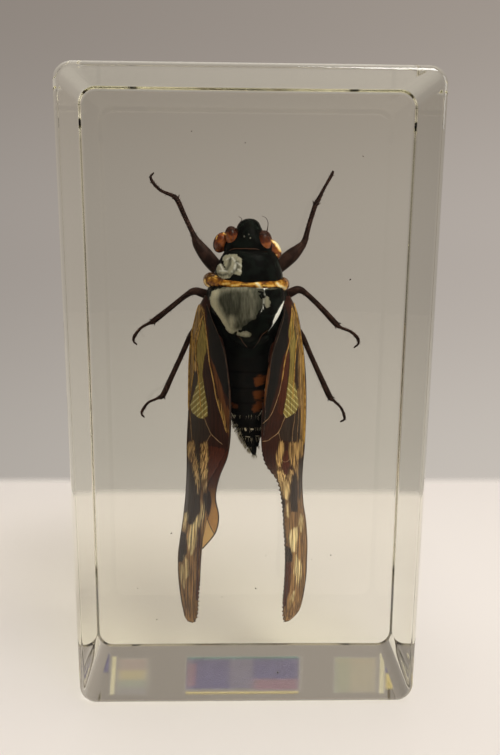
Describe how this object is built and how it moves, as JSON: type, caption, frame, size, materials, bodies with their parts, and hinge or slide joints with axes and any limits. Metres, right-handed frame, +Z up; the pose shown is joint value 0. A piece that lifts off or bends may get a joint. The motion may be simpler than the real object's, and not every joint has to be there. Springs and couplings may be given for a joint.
{
  "type": "insect specimen in a clear resin block",
  "caption": "Upright clear resin block with a dried large cicada cast inside, its wings folded along the body and its legs spread.",
  "frame": {"origin": "centre of the block's base, on the surface it stands on", "axes": "+Z up, from the wing tips to the insect's head; +X to the right as seen from the front; -Y is the front, which the insect's back faces"},
  "size_m": [0.063, 0.035, 0.111],
  "materials": {
    "clear_resin": "clear cast resin, polished, very faintly yellow-green",
    "cicada_cuticle": "glossy black and dark brown cuticle with an amber collar and eyes and brown wings with cream marks"
  },
  "bodies": {
    "root": {"resin_front": "clear_resin", "resin_back": "clear_resin", "cicada": "cicada_cuticle"}
  },
  "joints": []
}
